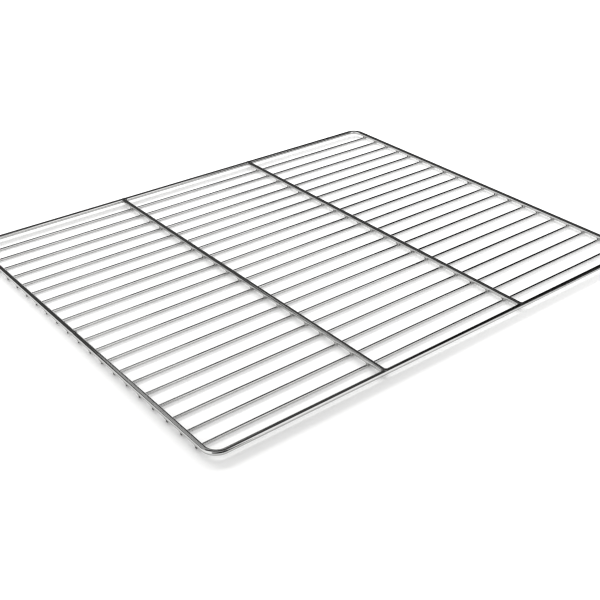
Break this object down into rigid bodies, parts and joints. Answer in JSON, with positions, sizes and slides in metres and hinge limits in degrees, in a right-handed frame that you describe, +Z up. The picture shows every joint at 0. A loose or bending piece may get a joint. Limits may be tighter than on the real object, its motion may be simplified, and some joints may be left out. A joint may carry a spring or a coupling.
{
  "type": "wire grid shelf",
  "caption": "Flat rectangular steel wire grid: thin parallel wires welded under a thick round-cornered rim and crossbars.",
  "frame": {"origin": "middle of the grid, on the plane that its thin wires rest on", "axes": "+X along the long sides and the thin wires, +Y along the crossbars, +Z up, from the thin wires to the rim"},
  "size_m": [0.65, 0.53, 0.0087],
  "materials": {
    "thick_wire": "electropolished stainless steel wire, 6 mm",
    "grid_wire": "electropolished stainless steel wire, 3 mm"
  },
  "bodies": {
    "root": {"rim_wire": "thick_wire", "crossbar_left": "thick_wire", "crossbar_right": "thick_wire", "grid_wire_01": "grid_wire", "grid_wire_02": "grid_wire", "grid_wire_03": "grid_wire", "grid_wire_04": "grid_wire", "grid_wire_05": "grid_wire", "grid_wire_06": "grid_wire", "grid_wire_07": "grid_wire", "grid_wire_08": "grid_wire", "grid_wire_09": "grid_wire", "grid_wire_10": "grid_wire", "grid_wire_11": "grid_wire", "grid_wire_12": "grid_wire", "grid_wire_13": "grid_wire", "grid_wire_14": "grid_wire", "grid_wire_15": "grid_wire", "grid_wire_16": "grid_wire", "grid_wire_17": "grid_wire", "grid_wire_18": "grid_wire", "grid_wire_19": "grid_wire", "grid_wire_20": "grid_wire"}
  },
  "joints": []
}
